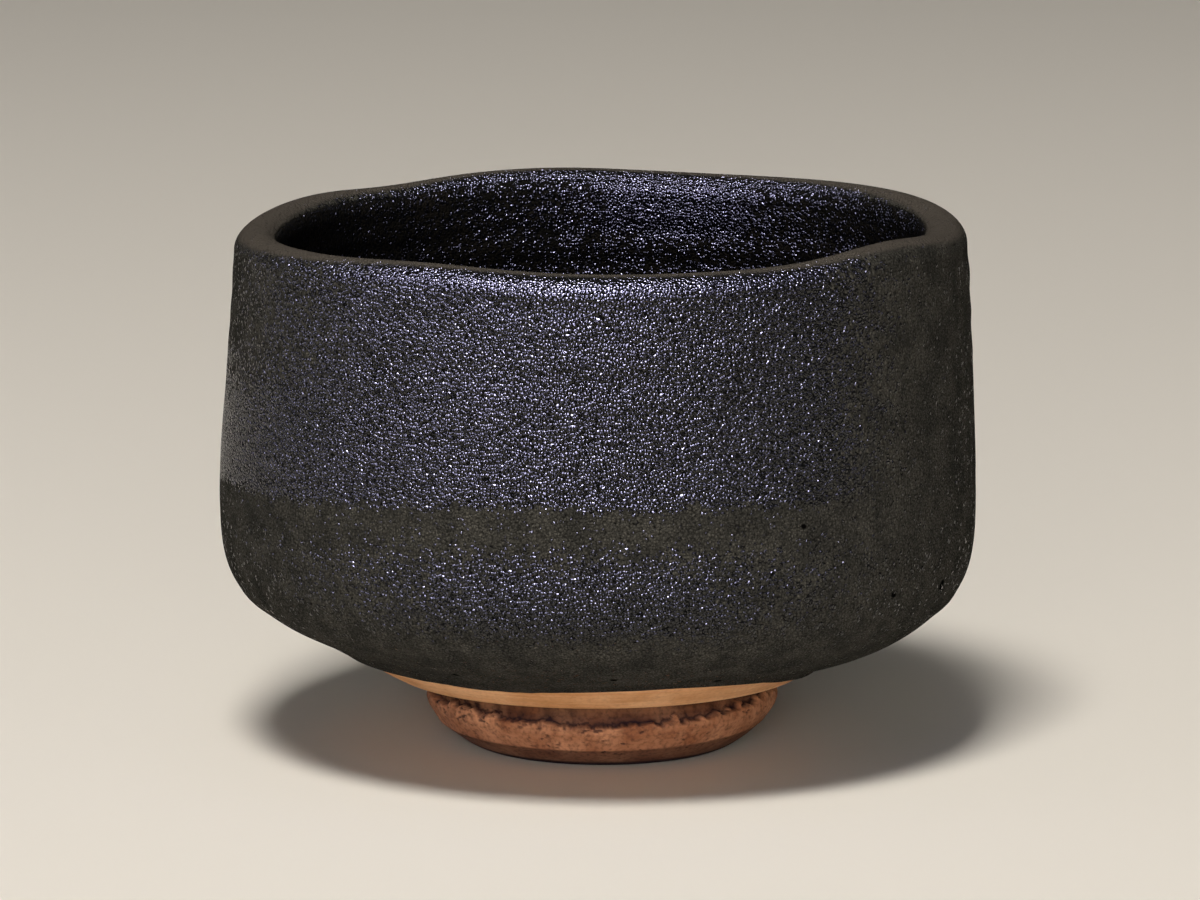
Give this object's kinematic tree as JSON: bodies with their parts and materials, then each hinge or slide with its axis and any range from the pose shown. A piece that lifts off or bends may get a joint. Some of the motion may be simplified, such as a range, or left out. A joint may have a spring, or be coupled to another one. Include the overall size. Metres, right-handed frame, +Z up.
{
  "type": "matcha bowl",
  "caption": "Hand-formed cylindrical tea bowl with a thick wavy lip, dark pebbled glaze, a bare clay band and a carved foot ring.",
  "frame": {"origin": "on the surface that the bowl stands on, at the centre of the bowl's outline seen from above", "axes": "+Z up along the bowl's axis; -Y towards the front of the bowl; +X to the right seen from the front"},
  "size_m": [0.1202, 0.1194, 0.0849],
  "materials": {
    "bare_clay": "bare fired clay, trimmed with a tool, matt",
    "foot_clay": "bare iron-rich clay, torn and gritty, matt",
    "inner_glaze": "black glaze, finely pebbled, semi-gloss",
    "outer_glaze": "black glaze, finely pebbled, semi-gloss to satin"
  },
  "bodies": {
    "root": {"clay_body": "bare_clay", "foot_ring": "foot_clay", "inner_glaze": "inner_glaze", "outer_glaze": "outer_glaze"}
  },
  "joints": []
}
